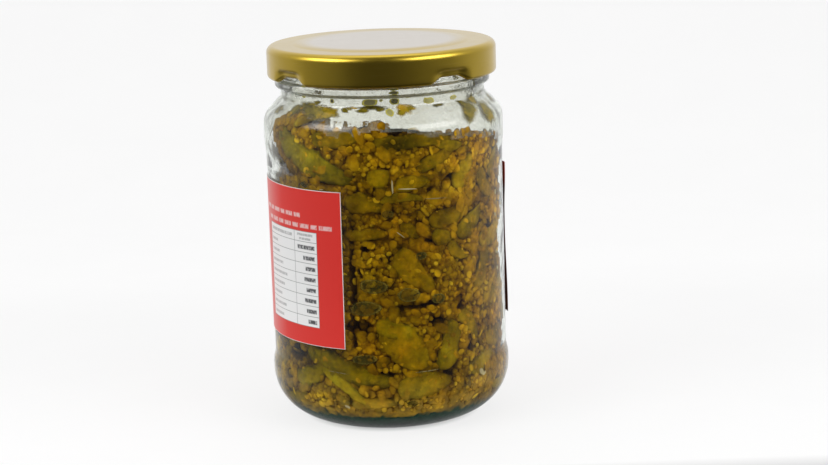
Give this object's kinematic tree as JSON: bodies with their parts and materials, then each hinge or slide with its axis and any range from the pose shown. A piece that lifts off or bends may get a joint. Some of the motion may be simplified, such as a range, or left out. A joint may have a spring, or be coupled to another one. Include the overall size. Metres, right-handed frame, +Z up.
{
  "type": "jar of chili pickle",
  "caption": "Round glass jar of green chili pickle in oil, with a gold lug cap and a red paper label wrapped round the back.",
  "frame": {"origin": "centre of the foot ring that the jar stands on", "axes": "+Z up along the jar's axis; -Y is the front, with the label's leading edge a little to its left"},
  "size_m": [0.0701, 0.07, 0.11],
  "materials": {
    "glass": "clear soda-lime glass with a faint green cast, gloss",
    "gold_cap": "gold lacquered tinplate, satin",
    "label_paper": "coated label paper, semi-gloss, red field with a white table of plain rules and bars",
    "pickle": "oily green chilies in crushed mustard, wet gloss"
  },
  "bodies": {
    "root": {"jar": "glass", "cap": "gold_cap", "label": "label_paper", "pickle": "pickle"}
  },
  "joints": []
}
